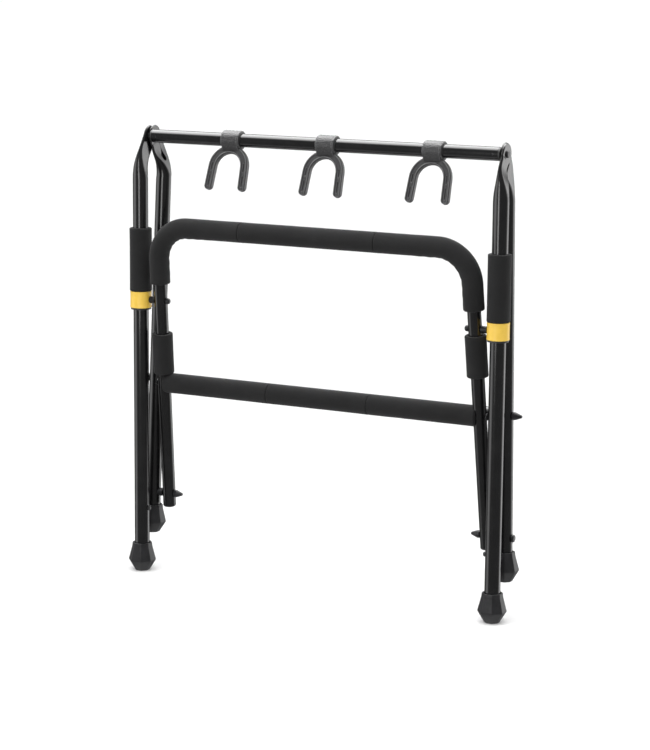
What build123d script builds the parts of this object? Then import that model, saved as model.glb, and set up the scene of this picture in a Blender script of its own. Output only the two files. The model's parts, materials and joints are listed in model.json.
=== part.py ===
from build123d import *
import os
from math import acos, atan2, cos, degrees, hypot, radians, sin, tan

os.makedirs("parts", exist_ok=True)

# A folding rack for three guitars, stood up in its folded state.
# Millimetres. +X runs along the top bar, +Y to the back, +Z up.
# While the pieces are made, Y is measured from the axis of the top bar. The last step moves
# everything to the row's origin: on the floor, at the middle of the footprint.

# ---- driving dimensions ----
BAR_HEIGHT = 643.0            # top pivot axis above the front feet's soles
LEG_X = 283.0                 # half the distance between the front legs
LEG_R = 11.1                  # 22.2 mm leg tube
FRAME_R = 9.525               # 19.05 mm bar and seat frame tube
WALL = 1.5                    # tube wall
RUNNING_GAP = 0.05            # radial play of everything that turns or slides
FACE_GAP = 0.1                # play between flat faces that turn on each other
SOFT_GAP = 0.1                # between foam and the tube under it

PLATE = 3.4                   # a leg tube pressed flat
FRONT_PLATE_R = 14.2          # rounded end of a front leg's plate
REAR_PLATE_R = 15.0
KNEE_R = 75.0                 # bend of a leg's centre line between tube and plate
WASHER = 0.8                  # nylon washer between the two plates
RING = 2.4                    # nylon ring between the bar and the rear leg's plate
RING_R = 9.2
BAR_END_X = 271.6             # half length of the top bar
SCREW_X = 264.0               # insert screws in the bar
SCREW_R = 1.6

SMALL_BOLT_R = 2.5            # shank of the hinge, link and crossbar bolts
PIVOT_BOLT_R = 3.0            # shank of the two top pivot bolts
PIVOT_HEAD_R = 4.9
PIVOT_HEAD_H = 2.4
HEAD_R = 5.4                  # domed heads of the small bolts
HEAD_H = 3.8
NUT_R = 4.4
NUT_H = 3.0
THREAD_END = 6.5              # a thread reaches this far past its nut's seat
STOP_HEAD_R = 3.6
STOP_HEAD_H = 3.4
BAR_INSERT = 28.0             # threaded inserts: length in the bar, the crossbar, the stretcher
CROSS_INSERT = 18.0
STUD_INSERT = 16.0
SEAT_GAP = 0.2                # flat faces of nuts and spacers clear the slanted tubes by this
CAP_R = 5.5                   # conical thread cap
CAP_H = 13.0

FOOT_H = 42.0                 # rubber foot, sole to rim
SOLE_H = 8.0                  # rubber under the tube's end

FOAM_R = 14.65                # foam on the seat frame
SIDE_FOAM_R = 15.1            # short foam on the sides of the seat frame
LEG_FOAM_R = 16.25            # foam on the front legs
U_BEND_R = 50.0               # centre line of the seat frame's corners
SEAM_GAP = 0.2                # between butted foam lengths

# ---- lines of the legs and the seat frame ----
FRONT_LEAN = 0.0127           # front leg, back per unit up
FRONT_TOP = (-20.4, 606.0)    # y, z of the knee, where the front leg turns to its plate
FRONT_PLATE = (1.5, 643.5)    # y, z of the middle of the plate's rounded end
REAR_LEAN = 0.0364
REAR_SPLAY = 0.0276           # rear leg, inwards per unit up
REAR_TOP = (271.2, 26.1, 602.0)
REAR_PLATE = (8.0, 643.0)     # the pivot hole is off the middle of the plate
REAR_SOLE_Z = 51.0            # the rear legs are shorter and hang clear of the floor
SEAT_PIVOT_Z = 112.0          # seat frame on the rear legs
LINK_Z = 406.8                # seat frame on the sliding collars
SEAT_SPLAY = 0.02847          # seat frame tube, inwards per unit up
SEAT_PIVOT_X = 257.3
SEAT_TOP_Z = 516.7            # middle of the padded top of the seat frame
SEAT_END_Z = 94.5
CROSS_Z = 283.3               # seat frame crossbar and rear stretcher
STOP_Z = 95.0                 # stop screws on the front legs

TOP_SEAMS = (-107.2, 105.8)   # x of the seams in the top foam
CROSS_SEAMS = (-75.6, 84.1)   # x of the seams in the crossbar foam
CROSS_FOAM_X = 249.0          # the crossbar foam reaches this far, hollowed around the side tubes
CORNER_FOAM_Z = 433.0         # lower ends of the corner foam
LEG_FOAM_TOP_Z = 511.2
SIDE_FOAM_SPANS = (("right", 340.0, 398.0), ("left", 298.3, 358.0))
SPARE_HOLE_RISE = 27.0        # spare hole above each crossbar bolt

COLLAR_R = 15.7
COLLAR_H = 24.0
COLLAR_TAB = 15.75            # inboard face of the collar, from the leg's axis
SLEEVE_R = 12.4
RIM_H = 2.6

YOKE_X = (-140.0, 11.5, 175.3)
YOKE_TILT = 20.0              # folded yokes hang this far forward of straight down
STRAP_R = 13.5
STRAP_W = 29.0
ARCH_R = 25.7                 # centre line of the fork's arch
ARCH_DROP = 40.0              # arch centre below the bar's axis
ARM_W = 11.6
ARM_T = 9.0
ARM_END = 69.5                # centre of the rounded tip below the bar's axis
ARM_SPLAY = 2.5               # degrees each arm leans outwards
LINER_R = 10.5

BAR_AXIS = Vector(0, 0, BAR_HEIGHT)


def front_axis(z):
    """Point on the right front leg's centre line."""
    return Vector(LEG_X, FRONT_TOP[0] + (z - FRONT_TOP[1]) * FRONT_LEAN, z)


def rear_axis(z):
    """Point on the right rear leg's centre line."""
    rise = z - REAR_TOP[2]
    return Vector(REAR_TOP[0] - rise * REAR_SPLAY, REAR_TOP[1] + rise * REAR_LEAN, z)


SEAT_PIVOT = Vector(SEAT_PIVOT_X, rear_axis(SEAT_PIVOT_Z).Y, SEAT_PIVOT_Z)
LINK = Vector(SEAT_PIVOT_X - (LINK_Z - SEAT_PIVOT_Z) * SEAT_SPLAY, front_axis(LINK_Z).Y, LINK_Z)


def seat_axis(z):
    """Point on the right side tube of the seat frame."""
    return SEAT_PIVOT + (LINK - SEAT_PIVOT) * ((z - SEAT_PIVOT_Z) / (LINK_Z - SEAT_PIVOT_Z))


# ---- small helpers ----
def rod(start, end, radius):
    """Round bar between two points."""
    along = end - start
    return Solid.make_cylinder(radius, along.length, Plane(origin=start, z_dir=along))


def tube(start, end, radius, bore):
    """Pipe between two points."""
    over = (end - start).normalized()
    return rod(start, end, radius) - rod(start - over, end + over, bore)


def cross_rod(point, x_from, x_to, radius):
    """Round bar along X through the height and depth of a point."""
    low, high = sorted((x_from, x_to))
    return rod(Vector(low, point.Y, point.Z), Vector(high, point.Y, point.Z), radius)


def cross_cone(point, x_from, x_to, radius_from, radius_to):
    """Cone along X through the height and depth of a point."""
    way = Vector(1 if x_to > x_from else -1, 0, 0)
    place = Plane(origin=Vector(x_from, point.Y, point.Z), z_dir=way)
    return Solid.make_cone(radius_from, radius_to, abs(x_to - x_from), place)


def domed_head(point, face_x, outward, radius=HEAD_R, height=HEAD_H):
    """Low domed bolt head that stands on the plane x = face_x."""
    head = cross_rod(point, face_x, face_x + outward * height, radius)
    rims = head.edges().filter_by(GeomType.CIRCLE).sort_by(Axis.X)
    rim = rims[-1] if outward > 0 else rims[0]
    return fillet(rim, height * 0.6)


def on_left(shape):
    """The same piece on the left side."""
    return mirror(shape, about=Plane.YZ)


def pair(shape):
    """The right and left pieces as two solids in one node."""
    return Compound(children=[*solids_of(shape), *solids_of(on_left(shape))])


def solids_of(shape):
    """Every solid in a shape."""
    return list(shape.solids())


nodes = {}


def add_pair(name, shape):
    """Two nodes, one for each side."""
    nodes[name + "_right"] = shape
    nodes[name + "_left"] = on_left(shape)


# ---- legs ----
REAR_PLATE_X = BAR_END_X + RING + FACE_GAP + PLATE / 2
FRONT_PLATE_X = REAR_PLATE_X + PLATE + 2 * FACE_GAP + WASHER
FRONT_SOLE = front_axis(0)
REAR_SOLE = rear_axis(REAR_SOLE_Z)
FRONT_UP = (front_axis(BAR_HEIGHT) - FRONT_SOLE).normalized()
REAR_UP = (rear_axis(BAR_HEIGHT) - REAR_SOLE).normalized()
SKIN = 0.1                    # the pressed end starts this much slimmer than the tube
ROUND_FROM = 66.0             # a leg is round this far below its plate's middle
PRESSING = (                  # below the plate's middle, thickness
    (8.0, PLATE),
    (18.0, 4.4),
    (30.0, 6.7),
    (40.0, 12.0),
    (50.0, 17.4),
    (58.0, 20.6),
)
BACK_EASE = 1.6               # how late the neck's back face leaves the plate's plane
DENT_DEPTH = 14.0             # the dents beside the plates cut through the whole neck
FRONT_DENT = ((-2.0, -9.0), (-2.0, 13.0), (24.0, 9.0), (24.0, 7.6))
REAR_DENT_END = 41.0          # round lower end of a rear leg's dent
REAR_DENT_W = 7.5
REAR_DENT_SLOPE = 0.04        # the dent's floor rises this much per unit down


def knee_line(knee, up_leg, middle):
    """Centre line from a plate's middle down a leg, as a function of the distance along it.

    The function gives the point and the upward direction there, both without any lean in X.
    """
    up = Vector(0, up_leg.Y, up_leg.Z).normalized()
    rise = Vector(0, middle.Y - knee.Y, middle.Z - knee.Z)
    way = rise.normalized()
    turn = acos(up.dot(way))
    straight = rise.length - KNEE_R * tan(turn / 2)
    inward = (way * cos(turn) - up) * (1 / sin(turn))
    bend_top = Vector(0, middle.Y, middle.Z) - way * straight

    def place(below):
        """Point and upward direction this far below the plate's middle."""
        past = below - straight
        if past <= 0:
            return bend_top - way * past, way
        angle = min(past / KNEE_R, turn)
        lead = way * cos(angle) - inward * sin(angle)
        point = bend_top + inward * (KNEE_R * (1 - cos(angle))) - way * (KNEE_R * sin(angle))
        return point - lead * (past - KNEE_R * angle), lead

    return place


def pressed_top(knee, up_leg, middle, plate_r, bulge):
    """Upper end of a leg: bends towards the pivot and is pressed flat on the way.

    middle is the centre of the plate's rounded end. bulge is +1 where the tube widens outwards
    from the plate and -1 where it widens inwards.
    """
    place = knee_line(knee, up_leg, middle)
    back_face = middle.X - bulge * PLATE / 2
    back_tube = knee.X - bulge * LEG_R
    sections = []
    for below, thickness in PRESSING:
        point, lead = place(below)
        opened = (thickness - PLATE) / (2 * LEG_R - PLATE)
        width = 2 * plate_r - 2 * SKIN + opened * 2 * (LEG_R - plate_r)
        back = back_face + (back_tube - back_face) * opened**BACK_EASE
        section = Plane(
            origin=Vector(back + bulge * thickness / 2, point.Y, point.Z),
            x_dir=Vector(0, lead.Z, -lead.Y),
            z_dir=lead,
        )
        sections.append(section * SlotOverall(width, thickness))
    start = round_end(knee, up_leg, middle)
    section = Plane(origin=start, x_dir=Vector(0, up_leg.Z, -up_leg.Y), z_dir=up_leg)
    sections.append(section * SlotOverall(2 * LEG_R - SKIN, 2 * LEG_R - 2 * SKIN))
    neck = loft(sections)
    way = place(0)[1]
    face_x = middle.X - PLATE / 2
    face = Plane(origin=Vector(face_x, middle.Y, middle.Z), x_dir=way * -1, z_dir=(1, 0, 0))
    strip = PRESSING[0][0]
    outline = Circle(plate_r) + Pos(strip / 2, 0) * Rectangle(strip, 2 * plate_r)
    plate = extrude(face * outline, PLATE)
    along = [
        edge for edge in plate.edges()
        if abs((edge @ 0 - edge @ 1).X) < SKIN and (middle - edge.center()).dot(way) < strip - 1
    ]
    return neck + fillet(along, PLATE / 2 - SKIN)


def round_end(knee, up_leg, middle):
    """Point on a leg's centre line where the plain round tube ends."""
    point, _ = knee_line(knee, up_leg, middle)(ROUND_FROM)
    return knee + up_leg * ((point.Z - knee.Z) / up_leg.Z)


def dent(middle, knee, outline, bulge, slope):
    """Cutter for the flat-floored dent that pressing leaves below a plate."""
    way = Vector(0, middle.Y - knee.Y, middle.Z - knee.Z).normalized()
    floor = Plane(
        origin=Vector(middle.X + bulge * PLATE / 2, middle.Y, middle.Z),
        x_dir=Vector(bulge * slope, -way.Y, -way.Z),
        z_dir=Vector(bulge, slope * way.Y, slope * way.Z),
    )
    return extrude(floor * outline, DENT_DEPTH)


def leg(sole, knee, up_leg, middle, plate_r, bulge):
    """Whole leg tube of the right side, from inside its foot to its pressed top."""
    pipe = tube(sole + up_leg * SOLE_H, round_end(knee, up_leg, middle), LEG_R, LEG_R - WALL)
    return pipe + pressed_top(knee, up_leg, middle, plate_r, bulge)


def make_front_legs():
    """Front legs with the holes for the pivot bolt and the stop screw."""
    knee = Vector(LEG_X, *FRONT_TOP)
    middle = Vector(FRONT_PLATE_X, *FRONT_PLATE)
    shape = leg(FRONT_SOLE, knee, FRONT_UP, middle, FRONT_PLATE_R, 1)
    shape -= dent(middle, knee, make_face(Polyline(*FRONT_DENT, close=True)), 1, 0)
    shape -= cross_rod(BAR_AXIS, BAR_END_X, LEG_X + 20, PIVOT_BOLT_R)
    shape -= cross_rod(front_axis(STOP_Z), LEG_X - 20, LEG_X, SMALL_BOLT_R)
    add_pair("front_leg", shape)


def make_rear_legs():
    """Rear legs with their pivot, hinge bolt and stretcher stud holes."""
    knee = Vector(*REAR_TOP)
    middle = Vector(REAR_PLATE_X, *REAR_PLATE)
    shape = leg(REAR_SOLE, knee, REAR_UP, middle, REAR_PLATE_R, -1)
    outline = Pos(REAR_DENT_END / 2, 0) * SlotOverall(REAR_DENT_END, REAR_DENT_W)
    shape -= dent(middle, knee, outline, -1, REAR_DENT_SLOPE)
    shape -= cross_rod(BAR_AXIS, BAR_END_X - 20, BAR_END_X + 20, PIVOT_BOLT_R + RUNNING_GAP)
    shape -= cross_rod(SEAT_PIVOT, LEG_X - 20, LEG_X + 30, SMALL_BOLT_R)
    shape -= cross_rod(rear_axis(CROSS_Z), LEG_X - 30, LEG_X + 30, SMALL_BOLT_R)
    add_pair("rear_leg", shape)


def foot(sole, up_leg, sole_cut):
    """Eight-sided rubber boot around a leg's end."""
    rings = ((0.0, 12.0), (7.0, 16.0), (16.0, 19.0), (FOOT_H - 6, 14.2), (FOOT_H, 13.6))
    x_dir = Vector(1, 0, 0)
    sections = []
    for rise, half_width in rings:
        place = Plane(origin=sole + up_leg * rise, x_dir=x_dir, z_dir=up_leg)
        corner_r = half_width / cos(radians(22.5))
        sections.append(place * RegularPolygon(corner_r, 8, rotation=22.5))
    boot = loft(sections, ruled=True)
    boot -= rod(sole + up_leg * SOLE_H, sole + up_leg * (FOOT_H + 1), LEG_R)
    return boot - Pos(sole.X, sole.Y, sole_cut - 20) * Box(80, 80, 40)


def make_feet():
    """Four rubber feet; the front pair stands on the floor."""
    sink = FRONT_UP * -0.3
    add_pair("front_foot", foot(FRONT_SOLE + sink, FRONT_UP, 0.0))
    add_pair("rear_foot", foot(REAR_SOLE, REAR_UP, REAR_SOLE_Z - 20))


def make_leg_foam():
    """Foam sleeves on the front legs, just above the folded collars."""
    low = front_axis(LINK_Z + COLLAR_H / 2 + 0.4)
    high = front_axis(LEG_FOAM_TOP_Z)
    add_pair("leg_foam", tube(low, high, LEG_FOAM_R, LEG_R + SOFT_GAP))


# ---- top pivots ----
def make_top_bar():
    """Bar, its threaded end inserts, the pivot bolts and their washers."""
    end = Vector(BAR_END_X, 0, BAR_HEIGHT)
    bar = tube(end - Vector(2 * BAR_END_X, 0, 0), end, FRAME_R, FRAME_R - WALL)
    screw_end = Vector(SCREW_X, -PIVOT_BOLT_R - RUNNING_GAP, BAR_HEIGHT)
    screw_hole = rod(Vector(SCREW_X, -20, BAR_HEIGHT), screw_end, SCREW_R)
    bar = bar - screw_hole - on_left(screw_hole)
    nodes["top_bar"] = bar
    insert = cross_rod(BAR_AXIS, BAR_END_X - BAR_INSERT, BAR_END_X, FRAME_R - WALL)
    insert -= cross_rod(BAR_AXIS, BAR_END_X - BAR_INSERT - 1, BAR_END_X + 1, PIVOT_BOLT_R)
    insert -= screw_hole
    nodes["bar_end_inserts"] = pair(insert)
    screw = rod(Vector(SCREW_X, 0.8 - FRAME_R, BAR_HEIGHT), screw_end, SCREW_R)
    nodes["insert_screws"] = pair(screw)

    head_x = FRONT_PLATE_X + PLATE / 2
    bolt = cross_rod(BAR_AXIS, BAR_END_X - BAR_INSERT + 6, head_x, PIVOT_BOLT_R)
    bolt += domed_head(BAR_AXIS, head_x, 1, radius=PIVOT_HEAD_R, height=PIVOT_HEAD_H)
    nodes["pivot_bolts"] = pair(bolt)
    ring = cross_rod(BAR_AXIS, BAR_END_X, BAR_END_X + RING, RING_R)
    outer_x = FRONT_PLATE_X - PLATE / 2
    washer = cross_rod(BAR_AXIS, outer_x - WASHER, outer_x, 2 * PIVOT_BOLT_R)
    washers = ring + washer - cross_rod(BAR_AXIS, BAR_END_X - 1, head_x, PIVOT_BOLT_R)
    nodes["pivot_washers"] = pair(washers)


def make_stop_screws():
    """Screws that stop the collars near the bottom of the front legs."""
    place = front_axis(STOP_Z)
    skin = LEG_X - LEG_R
    screw = cross_rod(place, skin + WALL + 1, skin - 0.02, SMALL_BOLT_R)
    screw += domed_head(place, skin - 0.02, -1, radius=STOP_HEAD_R, height=STOP_HEAD_H)
    screw -= rod(FRONT_SOLE + FRONT_UP * SOLE_H, front_axis(400), LEG_R - WALL - 1.5)
    nodes["stop_screws"] = pair(screw)


# ---- rear stretcher and the seat frame's hinge ----
def nut_and_cap(place, face_x, outward):
    """Nut on a bolt's end and the conical cap that covers both."""
    nut = cross_rod(place, face_x, face_x + outward * NUT_H, NUT_R)
    nut -= cross_rod(place, face_x - 5, face_x + 5, SMALL_BOLT_R)
    skirt_x = face_x + outward * (NUT_H + 0.5)
    cap = cross_rod(place, face_x, skirt_x, CAP_R)
    cap += cross_cone(place, skirt_x, face_x + outward * CAP_H, CAP_R, 1.9)
    cap -= cross_rod(place, face_x - outward, face_x + outward * NUT_H, NUT_R)
    cap -= cross_rod(place, face_x, face_x + outward * THREAD_END, SMALL_BOLT_R)
    return nut, cap


def make_stretcher():
    """Tube between the rear legs, held by studs with capped nuts outside."""
    place = rear_axis(CROSS_Z)
    centre = Vector(0, place.Y, place.Z)
    half = cross_rod(centre, 0, place.X, FRAME_R) - cross_rod(centre, -1, place.X, FRAME_R - WALL)
    half -= rod(rear_axis(200), rear_axis(360), LEG_R + 0.02)
    half = solids_of(half)[0]
    nodes["rear_stretcher"] = half + on_left(half)
    end_x = place.X - LEG_R - 2.5
    stud = cross_rod(place, end_x - STUD_INSERT, end_x, FRAME_R - WALL)
    face_x = place.X + LEG_R + SEAT_GAP
    stud += cross_rod(place, end_x, face_x + THREAD_END, SMALL_BOLT_R)
    nodes["stretcher_studs"] = pair(stud)
    nut, cap = nut_and_cap(place, face_x, 1)
    nodes["stretcher_nuts"] = pair(nut)
    nodes["stretcher_caps"] = pair(cap)


def make_hinges():
    """Bolts that hinge the seat frame inside the rear legs."""
    leg_x = rear_axis(SEAT_PIVOT_Z).X
    inner_x = SEAT_PIVOT_X - FRAME_R - SEAT_GAP
    outer_x = SEAT_PIVOT_X + FRAME_R + SEAT_GAP
    bolt = cross_rod(SEAT_PIVOT, inner_x - THREAD_END, leg_x + LEG_R, SMALL_BOLT_R)
    bolt += domed_head(SEAT_PIVOT, leg_x + LEG_R, 1)
    nodes["hinge_bolts"] = pair(bolt)
    spacer = cross_rod(SEAT_PIVOT, outer_x, leg_x, 6.0)
    spacer -= cross_rod(SEAT_PIVOT, outer_x - 1, leg_x + 1, SMALL_BOLT_R)
    spacer -= rod(rear_axis(60), rear_axis(160), LEG_R + 0.02)
    nodes["hinge_spacers"] = pair(spacer)
    nut, cap = nut_and_cap(SEAT_PIVOT, inner_x, -1)
    nodes["hinge_nuts"] = pair(nut)
    nodes["hinge_caps"] = pair(cap)


# ---- seat frame ----
def seat_path():
    """Centre line of the bent tube, right end to left end."""
    end = seat_axis(SEAT_END_Z)
    corner = seat_axis(SEAT_TOP_Z)
    left_corner = Vector(-corner.X, corner.Y, corner.Z)
    left_end = Vector(-end.X, end.Y, end.Z)
    return FilletPolyline(end, corner, left_corner, left_end, radius=U_BEND_R)


def swept(path, radius, bore):
    """Pipe along a path."""
    place = Plane(origin=path @ 0, z_dir=path % 0)
    return sweep(place * Circle(radius), path=path) - sweep(place * Circle(bore), path=path)


def make_seat_tube():
    """Bent tube with its hinge, link, crossbar and spare holes."""
    shape = swept(seat_path(), FRAME_R, FRAME_R - WALL)
    cuts = [
        cross_rod(SEAT_PIVOT, SEAT_PIVOT_X - 15, SEAT_PIVOT_X + 15, SMALL_BOLT_R + RUNNING_GAP),
        cross_rod(LINK, LINK.X - 15, LINK.X + 15, SMALL_BOLT_R),
        cross_rod(seat_axis(CROSS_Z), LINK.X - 20, LINK.X + 20, SMALL_BOLT_R),
        cross_rod(seat_axis(CROSS_Z + SPARE_HOLE_RISE), LINK.X, LINK.X + 20, 1.8),
    ]
    for cut in cuts:
        shape = shape - cut - on_left(cut)
    nodes["seat_tube"] = shape
    end = seat_axis(SEAT_END_Z)
    inward = (seat_axis(SEAT_TOP_Z) - end).normalized()
    plug = rod(end, end + inward * 9, FRAME_R - WALL)
    button = rod(end - inward * 2.4, end, FRAME_R)
    button = fillet(button.edges().filter_by(GeomType.CIRCLE).sort_by(Axis.Z)[0], 1.8)
    nodes["tube_plugs"] = pair(plug + button)


def make_crossbar():
    """Straight tube between the seat frame's sides, with its inserts and bolts."""
    place = seat_axis(CROSS_Z)
    centre = Vector(0, place.Y, place.Z)
    side_tube = rod(seat_axis(180), seat_axis(400), FRAME_R + 0.02)
    half = cross_rod(centre, 0, place.X, FRAME_R) - cross_rod(centre, -1, place.X, FRAME_R - WALL)
    half = solids_of(half - side_tube)[0]
    nodes["seat_crossbar"] = half + on_left(half)
    end_x = place.X - FRAME_R - 2.5
    insert = cross_rod(place, end_x - CROSS_INSERT, end_x, FRAME_R - WALL)
    insert -= cross_rod(place, end_x - CROSS_INSERT - 1, end_x + 1, SMALL_BOLT_R)
    nodes["crossbar_inserts"] = pair(insert)
    face_x = place.X + FRAME_R
    bolt = cross_rod(place, end_x - CROSS_INSERT + 4, face_x, SMALL_BOLT_R)
    bolt += domed_head(place, face_x, 1, radius=5.0, height=2.1)
    nodes["crossbar_bolts"] = pair(bolt)


def make_crossbar_foam():
    """Three butted foam lengths, the outer two hollowed where they meet the side tubes."""
    place = seat_axis(CROSS_Z)
    centre = Vector(0, place.Y, place.Z)
    side_tube = rod(seat_axis(180), seat_axis(400), FRAME_R + 0.3)
    spans = {
        "left": (-CROSS_FOAM_X, CROSS_SEAMS[0] - SEAM_GAP),
        "middle": CROSS_SEAMS,
        "right": (CROSS_SEAMS[1] + SEAM_GAP, CROSS_FOAM_X),
    }
    for name, (low, high) in spans.items():
        piece = cross_rod(centre, low, high, FOAM_R)
        piece -= cross_rod(centre, low - 1, high + 1, FRAME_R + SOFT_GAP)
        piece = piece - side_tube - on_left(side_tube)
        nodes["crossbar_foam_" + name] = max(solids_of(piece), key=lambda solid: solid.volume)


def make_top_foam():
    """Three foam lengths around the padded top of the seat frame."""
    corner = seat_axis(SEAT_TOP_Z)
    centre = Vector(0, corner.Y, corner.Z)
    low = seat_axis(CORNER_FOAM_Z)
    middle = cross_rod(centre, *TOP_SEAMS, FOAM_R)
    middle -= cross_rod(centre, TOP_SEAMS[0] - 1, TOP_SEAMS[1] + 1, FRAME_R + SOFT_GAP)
    nodes["top_foam_middle"] = middle
    for name, side, seam in (("right", 1, TOP_SEAMS[1]), ("left", -1, -TOP_SEAMS[0])):
        start = Vector(seam + SEAM_GAP, corner.Y, corner.Z)
        piece = swept(FilletPolyline(start, corner, low, radius=U_BEND_R), FOAM_R, FRAME_R + SOFT_GAP)
        nodes["top_foam_" + name] = piece if side > 0 else on_left(piece)


def make_side_foam():
    """Short foam lengths on the sides of the seat frame; they sit at different heights."""
    for name, low_z, high_z in SIDE_FOAM_SPANS:
        piece = tube(seat_axis(low_z), seat_axis(high_z), SIDE_FOAM_R, FRAME_R + SOFT_GAP)
        nodes["side_foam_" + name] = piece if name == "right" else on_left(piece)


def make_links():
    """Link bolts, spacers and nuts that lead from the seat frame to the collars."""
    inner_x = LINK.X - FRAME_R - SEAT_GAP
    outer_x = LINK.X + FRAME_R + SEAT_GAP
    boss_x = LEG_X - COLLAR_TAB - 0.4
    bolt = cross_rod(LINK, inner_x - 2.0, boss_x, SMALL_BOLT_R)
    nodes["link_bolts"] = pair(bolt)
    spacer = cross_rod(LINK, outer_x, boss_x, 5.0)
    nodes["link_spacers"] = pair(spacer - bolt)
    nut = domed_head(LINK, inner_x, -1, radius=NUT_R, height=5.2)
    nodes["link_nuts"] = pair(nut - bolt)


# ---- sliding collars ----
def make_collars():
    """Yellow shells with an inboard flat for the link, on black nylon sleeves."""
    middle = front_axis(LINK_Z)
    low = middle - FRONT_UP * (COLLAR_H / 2)
    high = middle + FRONT_UP * (COLLAR_H / 2)
    around = Plane(origin=low, x_dir=(1, 0, 0), z_dir=FRONT_UP)
    tab = around * (Pos(-COLLAR_TAB / 2, 0, COLLAR_H / 2) * Box(COLLAR_TAB, 15.0, COLLAR_H))
    shell = rod(low, high, COLLAR_R) + tab
    rims = shell.edges().group_by(Axis.Z)
    shell = fillet(rims[0] + rims[-1], 0.8)
    shell -= rod(low - FRONT_UP, high + FRONT_UP, SLEEVE_R)
    add_pair("collar_shell", shell)
    foot_rim = low - FRONT_UP * RIM_H
    sleeve = rod(foot_rim, high, SLEEVE_R) + rod(foot_rim, low, COLLAR_R - 1.0)
    sleeve -= rod(foot_rim - FRONT_UP, high + FRONT_UP, LEG_R + RUNNING_GAP)
    add_pair("collar_sleeve", sleeve)


# ---- yokes ----
def fork_outline(half_width):
    """U outline in the XZ plane, hanging from the bar's axis, with slightly splayed arms."""
    turn = radians(ARM_SPLAY)
    outward = Vector(cos(turn), sin(turn))
    down = Vector(sin(turn), -cos(turn))
    outer = outward * (ARCH_R + half_width)
    inner = outward * (ARCH_R - half_width)
    reach = down * (ARM_END - ARCH_DROP)
    tip = outward * ARCH_R + reach + down * half_width
    right = [
        Line(outer, outer + reach),
        ThreePointArc(outer + reach, tip, inner + reach),
        Line(inner + reach, inner),
    ]
    span = 180 - 2 * ARM_SPLAY
    arcs = [
        CenterArc((0, 0), ARCH_R + half_width, ARM_SPLAY, span),
        CenterArc((0, 0), ARCH_R - half_width, ARM_SPLAY, span),
    ]
    left = [mirror(edge, about=Plane.YZ) for edge in right]
    return Pos(0, BAR_HEIGHT - ARCH_DROP) * make_face([*right, *arcs, *left])


def fork(half_width, thickness):
    """Fork of a yoke as a flat plate, centred on the bar's depth."""
    return extrude(Plane.XZ * fork_outline(half_width), thickness / 2, both=True)


def make_yokes():
    """Each yoke: a nylon liner that slides on the bar, a steel core and a rubber cover."""
    ring = cross_rod(BAR_AXIS, -STRAP_W / 2, STRAP_W / 2, STRAP_R)
    ring = fillet(ring.edges().filter_by(GeomType.CIRCLE), 1.4)
    bore = cross_rod(BAR_AXIS, -STRAP_W, STRAP_W, LINER_R + RUNNING_GAP)
    arms = fork(ARM_W / 2, ARM_T)
    arms = fillet(arms.edges().filter_by(Axis.Y, reverse=True), 2.6)
    hoop = cross_rod(BAR_AXIS, -12.0, 12.0, LINER_R + 2.0)
    core = (hoop + fork(2.4, 4.0)) - cross_rod(BAR_AXIS, -40, 40, LINER_R + 1.0)
    cover = (ring + arms) - bore - core
    liner = cross_rod(BAR_AXIS, -STRAP_W / 2 - 1, STRAP_W / 2 + 1, LINER_R)
    liner -= cross_rod(BAR_AXIS, -STRAP_W, STRAP_W, FRAME_R + RUNNING_GAP)
    about_bar = Axis(BAR_AXIS, (1, 0, 0))
    for number, x in enumerate(YOKE_X, start=1):
        nodes[f"yoke_liner_{number}"] = Pos(x, 0, 0) * liner
        nodes[f"yoke_core_{number}"] = Pos(x, 0, 0) * core.rotate(about_bar, -YOKE_TILT)
        nodes[f"yoke_cover_{number}"] = Pos(x, 0, 0) * cover.rotate(about_bar, -YOKE_TILT)


# ---- the fold, worked out from the four pivots of one side ----
def fold_travel():
    """Rear leg swing, seat frame swing and collar travel from folded to open."""
    top_to_hinge = hypot(SEAT_PIVOT.Y, SEAT_PIVOT.Z - BAR_HEIGHT)
    hinge_to_link = hypot(LINK.Y - SEAT_PIVOT.Y, LINK.Z - SEAT_PIVOT.Z)
    stop_gap = 0.3
    open_z = STOP_Z + STOP_HEAD_R + stop_gap + RIM_H + COLLAR_H / 2
    open_link = front_axis(open_z)
    travel = (open_link - front_axis(LINK_Z)).length
    to_link = hypot(open_link.Y, open_link.Z - BAR_HEIGHT)
    link_angle = atan2(open_link.Y, BAR_HEIGHT - open_link.Z)
    cosine = (top_to_hinge**2 + to_link**2 - hinge_to_link**2) / (2 * top_to_hinge * to_link)
    rear_open = link_angle + acos(cosine)
    rear_folded = atan2(SEAT_PIVOT.Y, BAR_HEIGHT - SEAT_PIVOT.Z)
    hinge_y = top_to_hinge * sin(rear_open)
    hinge_z = BAR_HEIGHT - top_to_hinge * cos(rear_open)
    seat_open = atan2(hinge_y - open_link.Y, open_z - hinge_z)
    seat_folded = atan2(SEAT_PIVOT.Y - LINK.Y, LINK.Z - SEAT_PIVOT.Z)
    rear_swing = degrees(rear_open - rear_folded)
    seat_swing = degrees(seat_open - seat_folded) - rear_swing
    return rear_swing, seat_swing, travel


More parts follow.
